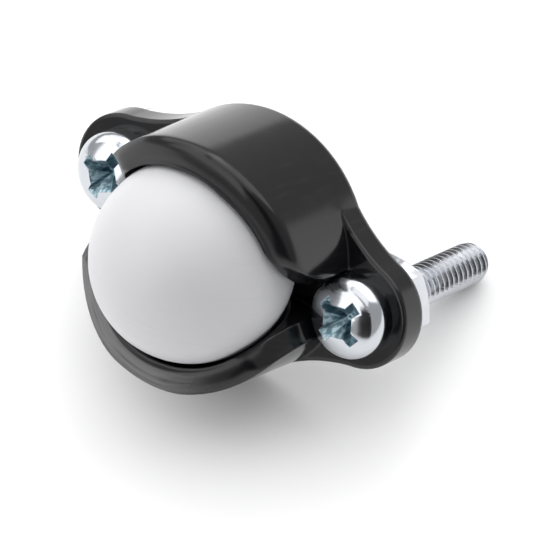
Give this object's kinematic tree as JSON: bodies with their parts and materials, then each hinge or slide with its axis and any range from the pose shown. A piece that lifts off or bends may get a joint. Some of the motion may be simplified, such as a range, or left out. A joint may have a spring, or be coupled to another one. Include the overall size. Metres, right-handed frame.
{
  "type": "ball transfer unit",
  "caption": "Small ball transfer unit: a white plastic ball held in a glossy black moulded cup with two opposed claws and two screw ears, fitted with cross-recess screws and hex nuts.",
  "frame": {"origin": "on the mounting face, the plane of the plate's back, at the centre of the cup", "axes": "+Z from the mounting face along the cup's axis towards the ball; X through the two screws, +X towards screw_right; +Y towards one of the two claws"},
  "size_m": [0.0192, 0.0124, 0.0184],
  "materials": {
    "black_plastic": "glossy moulded plastic",
    "white_plastic": "smooth satin",
    "zinc_steel": "bright zinc plated"
  },
  "bodies": {
    "base": {"housing": "black_plastic", "screw_left": "zinc_steel", "screw_right": "zinc_steel", "nut_left": "zinc_steel", "nut_right": "zinc_steel"},
    "ball": {"ball": "white_plastic"}
  },
  "joints": [
    {"name": "ball_roll", "type": "hinge", "parent": "base", "child": "ball", "pos_m": [0, 0, 0.005], "axis": [0, 1, 0], "continuous": true}
  ]
}
